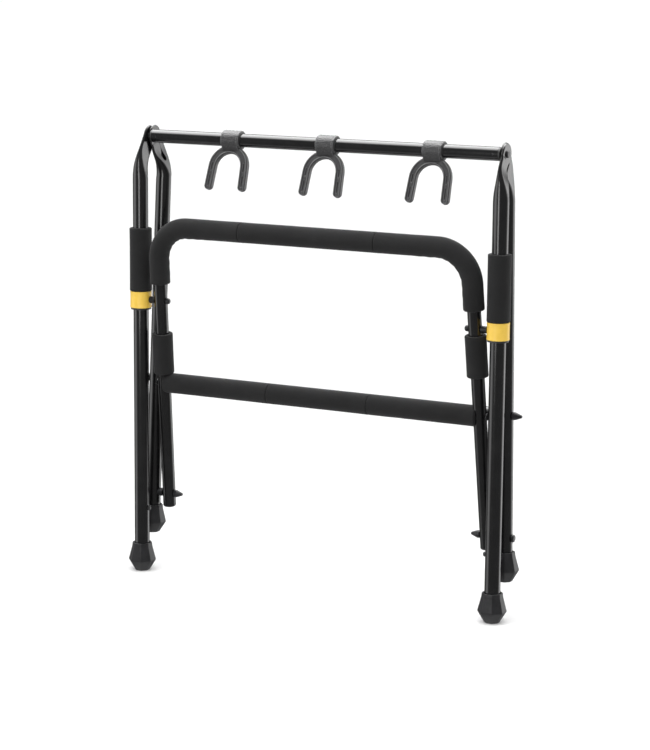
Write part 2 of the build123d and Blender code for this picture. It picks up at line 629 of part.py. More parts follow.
# ---- build, move to the row's origin and write ----
def main():
    """Make every node and write one file for each."""
    for make in (
        make_front_legs, make_rear_legs, make_feet, make_leg_foam, make_top_bar, make_stop_screws,
        make_stretcher, make_hinges, make_seat_tube, make_crossbar, make_crossbar_foam,
        make_top_foam, make_side_foam, make_links, make_collars, make_yokes,
    ):
        make()
    boxes = [shape.bounding_box() for shape in nodes.values()]
    front = min(box.min.Y for box in boxes)
    back = max(box.max.Y for box in boxes)
    middle = (front + back) / 2
    for name, shape in nodes.items():
        export_step(Pos(0, -middle, 0) * shape, f"parts/{name}.step")
    width = max(box.max.X for box in boxes) - min(box.min.X for box in boxes)
    height = max(box.max.Z for box in boxes) - min(box.min.Z for box in boxes)
    print(len(nodes), "nodes, size", round(width, 1), round(back - front, 1), round(height, 1))
    print("rear swing, seat swing, collar travel:", fold_travel())
    return middle


MIDDLE_Y = main()
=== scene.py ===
import json
import math

import bmesh
import bpy
import numpy as np
from mathutils import Matrix, Vector, noise

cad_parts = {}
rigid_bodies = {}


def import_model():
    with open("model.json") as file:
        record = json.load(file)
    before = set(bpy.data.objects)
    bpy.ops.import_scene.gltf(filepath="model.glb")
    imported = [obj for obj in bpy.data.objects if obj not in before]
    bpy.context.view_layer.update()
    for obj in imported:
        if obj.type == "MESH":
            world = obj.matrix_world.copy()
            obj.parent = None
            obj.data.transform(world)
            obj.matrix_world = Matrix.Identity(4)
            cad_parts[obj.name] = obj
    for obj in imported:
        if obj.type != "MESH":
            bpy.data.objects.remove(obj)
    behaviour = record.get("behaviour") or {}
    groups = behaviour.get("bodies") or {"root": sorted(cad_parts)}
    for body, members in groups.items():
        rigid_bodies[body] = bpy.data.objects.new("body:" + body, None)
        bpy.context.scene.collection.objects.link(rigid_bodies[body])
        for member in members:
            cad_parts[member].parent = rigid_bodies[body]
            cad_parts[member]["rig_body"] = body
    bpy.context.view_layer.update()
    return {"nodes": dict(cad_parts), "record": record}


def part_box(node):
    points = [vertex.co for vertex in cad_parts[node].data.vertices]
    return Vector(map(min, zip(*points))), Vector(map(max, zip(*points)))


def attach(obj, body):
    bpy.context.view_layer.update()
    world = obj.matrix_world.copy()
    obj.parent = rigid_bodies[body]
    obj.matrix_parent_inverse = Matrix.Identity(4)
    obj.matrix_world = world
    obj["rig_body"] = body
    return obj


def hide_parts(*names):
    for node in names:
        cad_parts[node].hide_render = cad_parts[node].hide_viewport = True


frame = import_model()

MM = 0.001

# ---- places read from the frame ----
bar_low, bar_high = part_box("top_bar")
BAR = (bar_low + bar_high) / 2
BAR_R = (bar_high.z - bar_low.z) / 2
FRAME_TUBE_R = BAR_R                      # the seat frame is bent from the same tube as the bar
LEG_TUBE_R = 11.1 * MM
FRONT_LEG_RISE = Vector((0, 0.0127, 1))   # direction of a front leg, bottom to top
REAR_LEG_SPLAY = 0.0276                   # sideways lean of a rear leg for each unit of height
REAR_LEG_LEAN = 0.0364                    # backward lean of a rear leg for each unit of height


def axis_ends(node, radius, lean):
    """Ends of the centre line of a slanted round CAD piece, bottom end first.

    lean holds the signs of x and y as the line rises.
    """
    low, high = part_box(node)
    size = high - low
    way = Vector((0, 0, 1))
    for _ in range(12):                   # the box and the direction settle each other
        reach = [size[i] - 2 * radius * math.sqrt(max(0.0, 1 - way[i] ** 2)) for i in range(3)]
        way = Vector([max(0.0, value) for value in reach]).normalized()
    half = Vector((lean[0] * reach[0], lean[1] * reach[1], reach[2])) / 2
    middle = (low + high) / 2
    return middle - half, middle + half


# ---- materials ----
def link(tree, source, target):
    """Join two sockets."""
    tree.links.new(source, target)


def noise_node(tree, coords, scale, detail=4.0, roughness=0.55):
    """Noise in the object's own coordinates; scale is features per metre."""
    node = tree.nodes.new("ShaderNodeTexNoise")
    node.inputs["Scale"].default_value = scale
    node.inputs["Detail"].default_value = detail
    node.inputs["Roughness"].default_value = roughness
    link(tree, coords, node.inputs["Vector"])
    return node.outputs["Fac"]


def remap(tree, value, low, high, out_low, out_high):
    """Clamp and rescale a value."""
    node = tree.nodes.new("ShaderNodeMapRange")
    node.inputs["From Min"].default_value = low
    node.inputs["From Max"].default_value = high
    node.inputs["To Min"].default_value = out_low
    node.inputs["To Max"].default_value = out_high
    link(tree, value, node.inputs["Value"])
    return node.outputs["Result"]


def mix_colour(tree, factor, first, second):
    """Blend two colours; each is a socket or a plain colour."""
    node = tree.nodes.new("ShaderNodeMix")
    node.data_type = "RGBA"
    link(tree, factor, node.inputs["Factor"])
    for name, colour in (("A", first), ("B", second)):
        socket = next(s for s in node.inputs if s.name == name and s.type == "RGBA")
        if isinstance(colour, tuple):
            socket.default_value = (*colour, 1.0)
        else:
            link(tree, colour, socket)
    return next(s for s in node.outputs if s.type == "RGBA")


def bump(tree, height, depth, under=None):
    """Bump of a real depth in metres."""
    node = tree.nodes.new("ShaderNodeBump")
    node.inputs["Strength"].default_value = 1.0
    node.inputs["Distance"].default_value = depth
    link(tree, height, node.inputs["Height"])
    if under is not None:
        link(tree, under, node.inputs["Normal"])
    return node.outputs["Normal"]


def edge_wear_and_highlight(tree, reach=0.6 * MM):
    """1 on edges, 0 on flat or gently curved skin, whatever the mesh's density; serves edge wear
    and the collar's painted rim highlight.
    """
    bevelled = tree.nodes.new("ShaderNodeBevel")
    bevelled.samples = 4
    bevelled.inputs["Radius"].default_value = reach
    geometry = tree.nodes.new("ShaderNodeNewGeometry")
    agree = tree.nodes.new("ShaderNodeVectorMath")
    agree.operation = "DOT_PRODUCT"
    link(tree, bevelled.outputs["Normal"], agree.inputs[0])
    link(tree, geometry.outputs["Normal"], agree.inputs[1])
    return remap(tree, agree.outputs["Value"], 0.97, 0.85, 0.0, 1.0)


def start_material(name, roughness=0.5, metallic=0.0, specular=0.5):
    """Empty Principled material with its tree, shader and object coordinates."""
    made = bpy.data.materials.new(name)
    made.use_nodes = True
    tree = made.node_tree
    shader = tree.nodes["Principled BSDF"]
    shader.inputs["Roughness"].default_value = roughness
    shader.inputs["Metallic"].default_value = metallic
    shader.inputs["Specular IOR Level"].default_value = specular
    coords = tree.nodes.new("ShaderNodeTexCoord").outputs["Object"]
    return made, tree, shader, coords


def gloss_coat_material():
    """Smooth black powder coat with a faint orange peel and a few dusty patches."""
    made, tree, shader, coords = start_material("black_gloss_coat")
    patches = remap(tree, noise_node(tree, coords, 38.0), 0.45, 0.75, 0.0, 1.0)
    worn = edge_wear_and_highlight(tree)
    colour = mix_colour(tree, patches, (0.0040, 0.0040, 0.0043), (0.0070, 0.0070, 0.0074))
    colour = mix_colour(tree, worn, colour, (0.02, 0.02, 0.021))
    link(tree, colour, shader.inputs["Base Color"])
    fine = noise_node(tree, coords, 260.0)
    link(tree, remap(tree, fine, 0.3, 0.7, 0.15, 0.20), shader.inputs["Roughness"])
    peel = noise_node(tree, coords, 620.0, detail=2.0)
    link(tree, bump(tree, peel, 0.0000015), shader.inputs["Normal"])
    return made


def fastener_material():
    """Black zinc, slightly rough, brighter on the edges that a spanner touches."""
    made, tree, shader, coords = start_material("black_fastener", metallic=0.6)
    mottle = noise_node(tree, coords, 900.0)
    colour = mix_colour(tree, mottle, (0.012, 0.012, 0.013), (0.04, 0.04, 0.042))
    colour = mix_colour(tree, edge_wear_and_highlight(tree), colour, (0.08, 0.08, 0.083))
    link(tree, colour, shader.inputs["Base Color"])
    link(tree, remap(tree, mottle, 0.3, 0.7, 0.28, 0.45), shader.inputs["Roughness"])
    link(tree, bump(tree, mottle, 0.00002), shader.inputs["Normal"])
    return made


def zinc_material():
    """Plain zinc plate with a fine spangle."""
    made, tree, shader, coords = start_material("zinc_plate", metallic=1.0)
    spangle = noise_node(tree, coords, 700.0)
    colour = mix_colour(tree, spangle, (0.42, 0.42, 0.43), (0.62, 0.62, 0.63))
    link(tree, colour, shader.inputs["Base Color"])
    link(tree, remap(tree, spangle, 0.3, 0.7, 0.25, 0.5), shader.inputs["Roughness"])
    link(tree, bump(tree, spangle, 0.00002), shader.inputs["Normal"])
    return made


def foam_material():
    """Matt closed-cell foam: fine skin grain, open pores here and there, soft handling marks."""
    made, tree, shader, coords = start_material("closed_cell_foam", specular=0.2)
    marks = remap(tree, noise_node(tree, coords, 24.0, detail=6.0), 0.35, 0.7, 0.0, 1.0)
    skin = noise_node(tree, coords, 1500.0, detail=3.0, roughness=0.7)
    colour = mix_colour(tree, marks, (0.0070, 0.0070, 0.0072), (0.0110, 0.0110, 0.0113))
    fleck = remap(tree, skin, 0.35, 0.65, 0.0, 0.55)
    colour = mix_colour(tree, fleck, colour, (0.0155, 0.0155, 0.0158))
    link(tree, colour, shader.inputs["Base Color"])
    link(tree, remap(tree, skin, 0.3, 0.7, 0.82, 0.97), shader.inputs["Roughness"])
    cells = tree.nodes.new("ShaderNodeTexVoronoi")
    cells.inputs["Scale"].default_value = 1100.0
    link(tree, coords, cells.inputs["Vector"])
    pores = bump(tree, cells.outputs["Distance"], 0.00016)
    link(tree, bump(tree, skin, 0.00022, under=pores), shader.inputs["Normal"])
    shader.inputs["Sheen Weight"].default_value = 0.06
    shader.inputs["Sheen Roughness"].default_value = 0.5
    return made


def rubber_material():
    """Moulded black rubber with a dull bloom."""
    made, tree, shader, coords = start_material("moulded_rubber", specular=0.25)
    bloom = remap(tree, noise_node(tree, coords, 70.0, detail=5.0), 0.35, 0.7, 0.0, 1.0)
    colour = mix_colour(tree, bloom, (0.011, 0.011, 0.012), (0.019, 0.019, 0.0205))
    colour = mix_colour(tree, edge_wear_and_highlight(tree), colour, (0.036, 0.036, 0.038))
    link(tree, colour, shader.inputs["Base Color"])
    fine = noise_node(tree, coords, 1300.0)
    link(tree, remap(tree, fine, 0.3, 0.7, 0.34, 0.5), shader.inputs["Roughness"])
    link(tree, bump(tree, fine, 0.00005), shader.inputs["Normal"])
    return made


def grained_rubber_material():
    """Soft grey rubber with a leather-like grain, with painted shade in its hollows and a painted
    highlight along its rims.
    """
    made, tree, shader, coords = start_material("grained_rubber")
    warp = tree.nodes.new("ShaderNodeVectorMath")
    warp.operation = "ADD"
    stir = tree.nodes.new("ShaderNodeTexNoise")
    stir.inputs["Scale"].default_value = 300.0
    link(tree, coords, stir.inputs["Vector"])
    shrink = tree.nodes.new("ShaderNodeVectorMath")
    shrink.operation = "SCALE"
    shrink.inputs["Scale"].default_value = 0.0016
    link(tree, stir.outputs["Color"], shrink.inputs[0])
    link(tree, coords, warp.inputs[0])
    link(tree, shrink.outputs["Vector"], warp.inputs[1])
    cells = tree.nodes.new("ShaderNodeTexVoronoi")
    cells.feature = "DISTANCE_TO_EDGE"
    cells.inputs["Scale"].default_value = 620.0
    link(tree, warp.outputs["Vector"], cells.inputs["Vector"])
    pebbles = remap(tree, cells.outputs["Distance"], 0.0, 0.25, 0.0, 1.0)
    colour = mix_colour(tree, pebbles, (0.013, 0.013, 0.0138), (0.024, 0.024, 0.025))
    bend = tree.nodes.new("ShaderNodeNewGeometry").outputs["Pointiness"]
    # darker colour in concave spots: painted shade in the hollows
    painted_hollow_shade = remap(tree, bend, 0.497, 0.47, 0.0, 1.0)
    colour = mix_colour(tree, painted_hollow_shade, colour, (0.008, 0.008, 0.0085))
    # paler colour on convex ridges: painted highlight along the rims
    painted_rim_highlight = remap(tree, bend, 0.508, 0.54, 0.0, 1.0)
    colour = mix_colour(tree, painted_rim_highlight, colour, (0.095, 0.095, 0.097))
    link(tree, colour, shader.inputs["Base Color"])
    fine = noise_node(tree, coords, 1800.0)
    link(tree, remap(tree, fine, 0.3, 0.7, 0.30, 0.42), shader.inputs["Roughness"])
    grain = bump(tree, pebbles, 0.00010)
    link(tree, bump(tree, fine, 0.00004, under=grain), shader.inputs["Normal"])
    return made


def nylon_material():
    """Dull black nylon."""
    made, tree, shader, coords = start_material("black_nylon")
    mottle = noise_node(tree, coords, 500.0)
    colour = mix_colour(tree, mottle, (0.012, 0.012, 0.012), (0.022, 0.022, 0.022))
    link(tree, colour, shader.inputs["Base Color"])
    link(tree, remap(tree, mottle, 0.3, 0.7, 0.4, 0.6), shader.inputs["Roughness"])
    link(tree, bump(tree, mottle, 0.00003), shader.inputs["Normal"])
    return made


def yellow_material():
    """Satin yellow plastic with a painted highlight along its rims, and faint rub marks."""
    made, tree, shader, coords = start_material("yellow_collar", specular=0.35)
    marks = remap(tree, noise_node(tree, coords, 120.0, detail=5.0), 0.4, 0.75, 0.0, 1.0)
    colour = mix_colour(tree, marks, (0.67, 0.44, 0.062), (0.61, 0.395, 0.05))
    # paler colour on the edges: painted highlight along the rims
    colour = mix_colour(tree, edge_wear_and_highlight(tree, 1.2 * MM), colour, (0.84, 0.58, 0.10))
    link(tree, colour, shader.inputs["Base Color"])
    fine = noise_node(tree, coords, 900.0)
    link(tree, remap(tree, fine, 0.3, 0.7, 0.3, 0.42), shader.inputs["Roughness"])
    link(tree, bump(tree, fine, 0.00002), shader.inputs["Normal"])
    return made


def floor_material():
    """Pale matt studio floor with the faintest mottling."""
    made, tree, shader, coords = start_material("pale_floor", roughness=0.9, specular=0.1)
    mottle = noise_node(tree, coords, 3.0)
    colour = mix_colour(tree, mottle, (0.90, 0.90, 0.90), (0.93, 0.93, 0.93))
    link(tree, colour, shader.inputs["Base Color"])
    return made


MATERIALS = {
    "black_gloss_steel": gloss_coat_material(),
    "black_steel": fastener_material(),
    "zinc_steel": zinc_material(),
    "grey_foam": foam_material(),
    "rubber": rubber_material(),
    "yoke_rubber": grained_rubber_material(),
    "black_nylon": nylon_material(),
    "yellow_plastic": yellow_material(),
}


def dress_cad():
    """Give every CAD node the material of its slot."""
    for part in frame["record"]["subparts"]:
        mesh = frame["nodes"][part["node"]].data
        mesh.materials.clear()
        mesh.materials.append(MATERIALS[part["material_slot"]])


# ---- shared mesh helpers ----
def mesh_object(name, verts, faces, slot_name):
    """New smooth-shaded object from plain mesh data, with its material."""
    mesh = bpy.data.meshes.new(name)
    mesh.from_pydata(verts, [], faces)
    tidy = bmesh.new()
    tidy.from_mesh(mesh)
    bmesh.ops.recalc_face_normals(tidy, faces=tidy.faces)
    tidy.to_mesh(mesh)
    tidy.free()
    mesh.materials.append(MATERIALS[slot_name])
    mesh.polygons.foreach_set("use_smooth", [True] * len(mesh.polygons))
    made = bpy.data.objects.new(name, mesh)
    bpy.context.scene.collection.objects.link(made)
    return made


def stand_for(piece, node):
    """Let a piece replace a CAD node and ride on its body."""
    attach(piece, frame["nodes"][node]["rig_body"])
    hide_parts(node)


def loft_faces(rows, caps=True):
    """Quads between equal rings of vertex numbers, with flat ends."""
    faces = []
    for a, b in zip(rows, rows[1:]):
        for k in range(len(a)):
            n = (k + 1) % len(a)
            faces.append((a[k], a[n], b[n], b[k]))
    if caps:
        faces += [tuple(reversed(rows[0])), tuple(rows[-1])]
    return faces


def smoothstep(low, high, value):
    """0 below low, 1 above high, smooth between, for whole arrays."""
    share = np.clip((value - low) / (high - low), 0.0, 1.0)
    return share * share * (3 - 2 * share)


# ---- foam ----
FOAM_LIP = 1.6 * MM           # radius of the rounded ends
LIP_STEPS = 5
FLARE_REACH = 12.0 * MM       # length over which flared ends and creases fade
SKIN_DRAW = 0.12 * MM         # keeps the uneven skin inside the CAD sleeve
BORE_MOUTH = 0.6 * MM
CREASES = 22.0                # wave number of the creases round a bend
RING_POINTS = 56


def bent_path(start, corner, end, radius, step):
    """Points along two straight runs joined by a round bend, and the bend's centre."""
    first = (start - corner).normalized()
    second = (end - corner).normalized()
    turn = math.pi - first.angle(second)
    tangent = radius * math.tan(turn / 2)
    bend_start = corner + first * tangent
    bend_end = corner + second * tangent
    centre = corner + (first + second).normalized() * (radius / math.cos(turn / 2))
    points = []
    count = max(2, round((bend_start - start).length / step))
    points += [start.lerp(bend_start, i / count) for i in range(count)]
    count = max(6, round(radius * turn / step))
    spoke = bend_start - centre
    axle = spoke.cross(bend_end - centre).normalized()
    for i in range(count):
        points.append(centre + Matrix.Rotation(turn * i / count, 3, axle) @ spoke)
    count = max(2, round((end - bend_end).length / step))
    points += [bend_end.lerp(end, i / count) for i in range(count + 1)]
    return points, centre


def straight_path(start, end, step):
    """Evenly spaced points between two ends."""
    count = max(2, round((end - start).length / step))
    return [start.lerp(end, i / count) for i in range(count + 1)]


def rings_along(points, profile):
    """Vertices of rings around a path. profile(along, ray, point) gives each radius."""
    tangents = []
    for i, point in enumerate(points):
        before = points[max(0, i - 1)]
        after = points[min(len(points) - 1, i + 1)]
        tangents.append((after - before).normalized())
    side = tangents[0].orthogonal().normalized()
    verts = []
    along = 0.0
    for i, point in enumerate(points):
        if i:
            along += (point - points[i - 1]).length
            side = (side - tangents[i] * side.dot(tangents[i])).normalized()
        up = tangents[i].cross(side)
        for k in range(RING_POINTS):
            angle = 2 * math.pi * k / RING_POINTS
            ray = side * math.cos(angle) + up * math.sin(angle)
            verts.append(point + ray * profile(along, ray, point))
    return verts


def lip_stations(points):
    """A path's points with closely spaced ones added at both rounded ends."""
    start, end = points[0], points[-1]
    start_way = (points[1] - start).normalized()
    end_way = (end - points[-2]).normalized()
    depths = [FOAM_LIP * (1 - math.cos(math.pi / 2 * i / LIP_STEPS)) for i in range(LIP_STEPS + 1)]
    head = [start + start_way * depth for depth in depths]
    tail = [end - end_way * depth for depth in reversed(depths)]
    clear = FOAM_LIP * 1.2
    body = [p for p in points if (p - start).length > clear and (p - end).length > clear]
    return head + body + tail


def foam_sleeve(name, node, points, radius, bore, bend_centre=None):
    """Foam length around a path, with rounded lips, a soft uneven skin and a real bore."""
    stations = lip_stations(points)
    total = sum((b - a).length for a, b in zip(stations, stations[1:]))

    def skin(along, ray, point):
        """Radius of the outside."""
        spot = point + ray * radius
        swell = 0.12 * MM * noise.noise(spot * 26.0)
        swell += 0.06 * MM * noise.noise(spot * 90.0)
        ease = min(along, total - along)
        flare = 0.16 * MM * math.exp(-ease / FLARE_REACH)
        short = max(0.0, FOAM_LIP - ease)
        lip = FOAM_LIP - math.sqrt(FOAM_LIP ** 2 - short ** 2)
        crease = 0.0
        if bend_centre is not None:
            inward = bend_centre - point
            near = math.exp(-((inward.length - BEND_R) / FLARE_REACH) ** 2)
            facing = max(0.0, ray.dot(inward.normalized()))
            spin = math.atan2(inward.z, inward.x)
            crease = near * facing ** 2 * (0.3 + 0.3 * math.sin(spin * CREASES)) * MM
        return radius - SKIN_DRAW + swell + flare + crease - lip

    def inside(along, ray, point):
        """Radius of the bore, opened slightly at both ends."""
        return bore + max(0.0, BORE_MOUTH - min(along, total - along))

    verts = rings_along(stations, skin) + rings_along(stations, inside)
    count = len(stations)
    rows = [range(i * RING_POINTS, (i + 1) * RING_POINTS) for i in range(2 * count)]
    loop = rows[:count] + rows[: count - 1 : -1] + rows[:1]
    piece = mesh_object(name, verts, loft_faces(loop, caps=False), "grey_foam")
    stand_for(piece, node)


BEND_R = 50.0 * MM
FOAM_R = 14.65 * MM
SIDE_FOAM_R = 15.1 * MM
LEG_FOAM_R = 16.25 * MM
STEP = 3.0 * MM               # spacing of the rings


def make_foam():
    """Every foam length of the rack."""
    seat_lines = {}
    for side, sign in (("right", 1), ("left", -1)):
        node = "side_foam_" + side
        low, high = axis_ends(node, SIDE_FOAM_R, (-sign, -1))
        seat_lines[side] = (low, high)
        points = straight_path(low, high, STEP)
        foam_sleeve("foam_side_" + side, node, points, SIDE_FOAM_R, FRAME_TUBE_R)
        node = "leg_foam_" + side
        low, high = axis_ends(node, LEG_FOAM_R, (0, 1))
        points = straight_path(low, high, STEP)
        foam_sleeve("foam_leg_" + side, node, points, LEG_FOAM_R, LEG_TUBE_R)
    crossbar = ["crossbar_foam_" + place for place in ("left", "middle", "right")]
    for node in ("top_foam_middle", *crossbar):
        low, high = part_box(node)
        middle = (low + high) / 2
        ends = [Vector((x, middle.y, middle.z)) for x in (low.x, high.x)]
        foam_sleeve("foam_" + node, node, straight_path(*ends, STEP), FOAM_R, FRAME_TUBE_R)
    low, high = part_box("top_foam_middle")
    top_y, top_z = (low.y + high.y) / 2, (low.z + high.z) / 2
    for side, sign in (("right", 1), ("left", -1)):
        low, high = seat_lines[side]
        way = (high - low) / (high.z - low.z)
        corner = low + way * (top_z - low.z)
        corner.y = top_y
        box_low, box_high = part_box("top_foam_" + side)
        seam_x = box_low.x if sign > 0 else box_high.x
        slant = math.sqrt(1 - (1 / way.length) ** 2)
        end_z = box_low.z + FOAM_R * slant
        end = low + way * (end_z - low.z)
        start = Vector((seam_x, top_y, top_z))
        points, centre = bent_path(start, corner, end, BEND_R, STEP)
        foam_sleeve("foam_top_" + side, "top_foam_" + side, points, FOAM_R, FRAME_TUBE_R, centre)


# ---- yokes ----
YOKE_TILT = math.radians(20.0)
STRAP_R = 13.4 * MM
STRAP_BORE = 10.55 * MM
STRAP_W = 29.0 * MM
STRAP_EDGE = 1.3 * MM
ARCH_R = 25.7 * MM
ARCH_DROP = 40.0 * MM
ARM_SPLAY = math.radians(2.5)
ARM_REACH = 29.5 * MM
ARM_HALF_W = 5.8 * MM
ARM_HALF_T = 4.4 * MM
ARM_EDGE = 1.8 * MM
ARCH_LENGTH = ARCH_R * (math.pi - 2 * ARM_SPLAY)
WEB_DROP = 17.0 * MM
WEB_HALF_W = 12.8 * MM
WEB_INNER = (STRAP_BORE + 1.4 * MM) / STRAP_R   # top of the web, as a share of the strap's radius
YOKE_VOXEL = 0.45 * MM
DISH_DEPTH = 0.85 * MM
RIM_RISE = 0.6 * MM
RIM_PLACE = 4.3 * MM          # from the arm's middle line
RIM_SPREAD = 0.55 * MM
TIP_END = -73.6 * MM          # the dish fades out here, inside the round tips
SLOT_SPANS = ((34.5 * MM, 46.5 * MM), (52.5 * MM, 68.5 * MM))   # below the bar's axis
SLOT_HALF_W = 1.25 * MM
SLOT_DEPTH = 1.5 * MM
BEAD_PLACE = 11.7 * MM
BEAD_RISE = 0.28 * MM
GRAIN_RISE = 0.34 * MM


def fork_point(along):
    """Centre (x, z) and outward direction of the fork, at a length from its right tip."""
    out = Vector((math.cos(ARM_SPLAY), math.sin(ARM_SPLAY)))
    down = Vector((math.sin(ARM_SPLAY), -math.cos(ARM_SPLAY)))
    hang = Vector((0, -ARCH_DROP))
    past_arch = along - ARM_REACH - ARCH_LENGTH
    if along < ARM_REACH:
        return hang + out * ARCH_R + down * (ARM_REACH - along), out
    if past_arch > 0:
        spot = hang + out * ARCH_R + down * past_arch
        return Vector((-spot.x, spot.y)), Vector((-out.x, out.y))
    turn = ARM_SPLAY + (along - ARM_REACH) / ARCH_R
    way = Vector((math.cos(turn), math.sin(turn)))
    return hang + way * ARCH_R, way


def round_box_ring(half_w, half_t, edge):
    """Points (across, front) of a rectangle with round corners."""
    points = []
    corner_steps = 5
    for quarter, (side, face) in enumerate(((1, 1), (-1, 1), (-1, -1), (1, -1))):
        for i in range(corner_steps + 1):
            turn = math.pi / 2 * (quarter + i / corner_steps)
            across = side * (half_w - edge) + edge * math.cos(turn)
            points.append((across, face * (half_t - edge) + edge * math.sin(turn)))
    return points


def fork_body():
    """Fork of a yoke around the bar's axis, hanging straight down, with round tips."""
    total = 2 * ARM_REACH + ARCH_LENGTH
    tip_steps = 8
    stations = []
    for i in range(tip_steps + 1):
        turn = math.pi / 2 * i / tip_steps
        stations.append((-ARM_HALF_W * math.cos(turn), max(0.06, math.sin(turn))))
    middle_steps = 90
    stations += [(total * i / middle_steps, 1.0) for i in range(1, middle_steps)]
    stations += [(total - along, share) for along, share in reversed(stations[: tip_steps + 1])]
    verts, rows = [], []
    for along, share in stations:
        centre, out = fork_point(along)
        thin = 0.5 + 0.5 * share
        ring = round_box_ring(ARM_HALF_W * share, ARM_HALF_T * thin, ARM_EDGE * share)
        row = []
        for across, front in ring:
            x, z = centre + out * across
            if abs(x) < STRAP_W / 2:      # keeps the fork out of the strap's bore
                z = min(z, -math.sqrt((STRAP_R * WEB_INNER) ** 2 - front ** 2))
            row.append(len(verts))
            verts.append((x, front, z))
        rows.append(row)
    return verts, loft_faces(rows)


def strap_body():
    """Hoop of a yoke around the bar's axis."""
    around = 96
    edge = STRAP_EDGE
    half = STRAP_W / 2
    section = [(-half, STRAP_BORE), (half, STRAP_BORE)]
    for side in (1, -1):
        for i in range(6):
            turn = math.pi / 2 * i / 5
            sweep = turn if side > 0 else math.pi / 2 - turn
            x = side * (half - edge + edge * math.cos(sweep))
            section.append((x, STRAP_R - edge + edge * math.sin(sweep)))
    verts, rows = [], []
    for k in range(around):
        turn = 2 * math.pi * k / around
        rows.append([len(verts) + i for i in range(len(section))])
        verts += [(x, r * math.cos(turn), r * math.sin(turn)) for x, r in section]
    faces = loft_faces([*rows, rows[0]], caps=False)
    return verts, faces


def web_body():
    """Filling between strap and fork, so that one runs smoothly into the other."""
    low_z = -WEB_DROP
    touch = math.acos(STRAP_R / math.hypot(ARM_HALF_T, low_z)) + math.atan2(low_z, ARM_HALF_T)
    shoulder = (STRAP_R * math.cos(touch), STRAP_R * math.sin(touch))
    half = [shoulder, (ARM_HALF_T - 0.3 * MM, low_z)]
    roof = [(-shoulder[0] * WEB_INNER, shoulder[1] * WEB_INNER), (0, -STRAP_R * WEB_INNER)]
    roof.append((shoulder[0] * WEB_INNER, shoulder[1] * WEB_INNER))
    section = half + [(-y, z) for y, z in reversed(half)] + roof
    verts, rows = [], []
    for x in (-WEB_HALF_W, WEB_HALF_W):
        rows.append([len(verts) + i for i in range(len(section))])
        verts += [(x, y, z) for y, z in section]
    return verts, loft_faces(rows)


def yoke_relief(points, normals):
    """Moves of the remeshed yoke's skin: rims, dished faces, slots, strap beads and grain."""
    x, y, z = points.T
    off_x = np.abs(x)
    rel_z = z + ARCH_DROP
    on_arch = np.arctan2(rel_z, off_x) > ARM_SPLAY
    across_arch = np.hypot(x, rel_z) - ARCH_R
    across_arm = off_x * math.cos(ARM_SPLAY) + rel_z * math.sin(ARM_SPLAY) - ARCH_R
    across = np.where(on_arch, across_arch, across_arm)
    off = np.abs(across)
    flat = smoothstep(0.72, 0.95, np.abs(normals[:, 1]))
    flat = flat * (1 - smoothstep(-17.5 * MM, -14.5 * MM, z))
    dish = -DISH_DEPTH * (1 - smoothstep(2.6 * MM, 3.5 * MM, off))
    rim = RIM_RISE * np.exp(-(((off - RIM_PLACE) / RIM_SPREAD) ** 2))
    tip = smoothstep(TIP_END, TIP_END + 2.1 * MM, z)
    slots = np.zeros_like(x)
    drop = -z
    for start, end in SLOT_SPANS:
        over = np.maximum(np.maximum(start + SLOT_HALF_W - drop, drop - end + SLOT_HALF_W), 0.0)
        reach = np.hypot(over, across)
        wall = smoothstep(SLOT_HALF_W - 0.35 * MM, SLOT_HALF_W + 0.25 * MM, reach)
        slots -= SLOT_DEPTH * (1 - wall)
    face_move = flat * (dish * tip + rim * tip + slots)
    radius = np.hypot(y, z)
    on_strap = smoothstep(STRAP_R - 0.6 * MM, STRAP_R - 0.3 * MM, radius)
    on_strap = on_strap * (1 - smoothstep(14.2 * MM, 15.2 * MM, radius))
    on_strap *= 1 - smoothstep(13.6 * MM, 14.4 * MM, off_x)
    bead = BEAD_RISE * np.exp(-(((off_x - BEAD_PLACE) / (0.5 * MM)) ** 2))
    grain = np.array([noise.noise(Vector(p) * 480.0) for p in points])
    grain += 0.5 * np.array([noise.noise(Vector(p) * 1100.0) for p in points])
    out_of_bore = smoothstep(STRAP_BORE + 0.2 * MM, STRAP_BORE + 0.5 * MM, radius)
    skin_move = on_strap * (bead + GRAIN_RISE * grain) + out_of_bore * 0.025 * MM * grain
    moves = np.zeros_like(points)
    moves[:, 1] = np.sign(y) * face_move
    moves += normals * skin_move[:, None]
    return moves


def make_yoke_mesh():
    """One yoke: fork and strap fused, then given its relief."""
    verts, faces = fork_body()
    for more_verts, more_faces in (strap_body(), web_body()):
        base = len(verts)
        verts += more_verts
        faces += [tuple(base + i for i in face) for face in more_faces]
    piece = mesh_object("yoke_build", verts, faces, "yoke_rubber")
    fuse = piece.modifiers.new("fuse", "REMESH")
    fuse.mode = "VOXEL"
    fuse.voxel_size = YOKE_VOXEL
    fuse.use_smooth_shade = True
    relax = piece.modifiers.new("relax", "SMOOTH")
    relax.factor = 0.5
    relax.iterations = 9
    shape = piece.evaluated_get(bpy.context.evaluated_depsgraph_get())
    mesh = bpy.data.meshes.new_from_object(shape)
    bpy.data.objects.remove(piece)
    count = len(mesh.vertices)
    points = np.empty(count * 3)
    normals = np.empty(count * 3)
    mesh.vertices.foreach_get("co", points)
    mesh.vertices.foreach_get("normal", normals)
    points = points.reshape(-1, 3)
    points += yoke_relief(points, normals.reshape(-1, 3))
    mesh.vertices.foreach_set("co", points.ravel())
    mesh.update()
    mesh.polygons.foreach_set("use_smooth", [True] * len(mesh.polygons))
    return mesh


